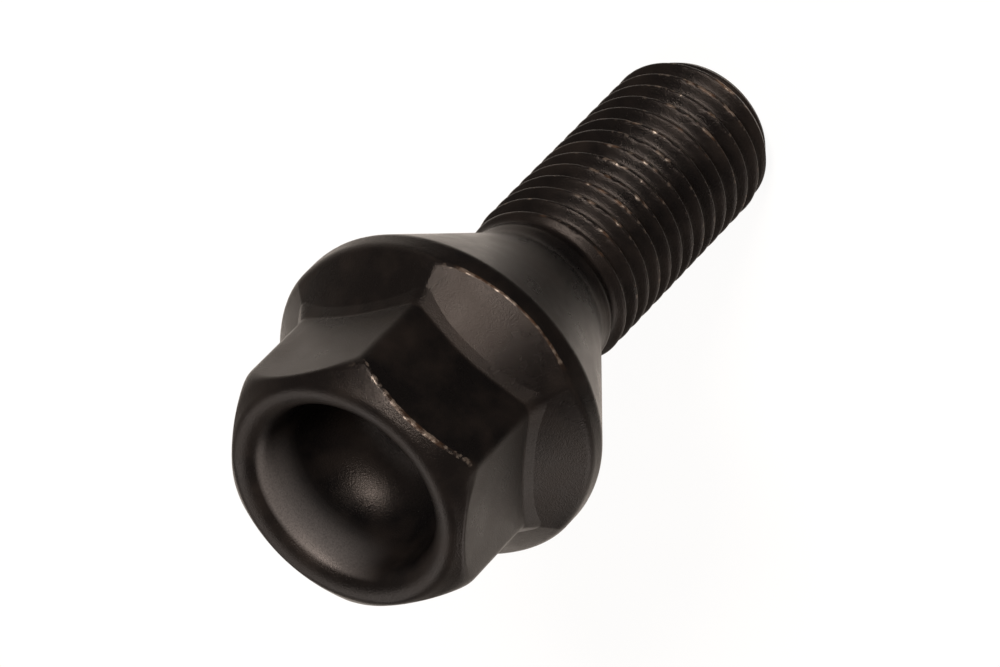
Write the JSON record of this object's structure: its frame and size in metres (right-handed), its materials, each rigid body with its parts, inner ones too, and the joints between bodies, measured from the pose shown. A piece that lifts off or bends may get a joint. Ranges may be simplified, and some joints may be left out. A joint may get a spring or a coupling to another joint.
{
  "type": "wheel bolt",
  "caption": "Black steel wheel bolt with a rounded hexagon head, a cup-shaped recess in its face, a flange, a 60 degree conical seat and a threaded shank.",
  "frame": {"origin": "centre of the flat end face of the thread, on which the bolt stands", "axes": "+Z along the bolt towards the head, +X square to one flat of the hexagon"},
  "size_m": [0.0234, 0.0234, 0.0465],
  "materials": {
    "black_steel": "black phosphate, semi-matte, worn to bare steel along the thread crests"
  },
  "bodies": {
    "root": {"wheel_bolt": "black_steel"}
  },
  "joints": []
}
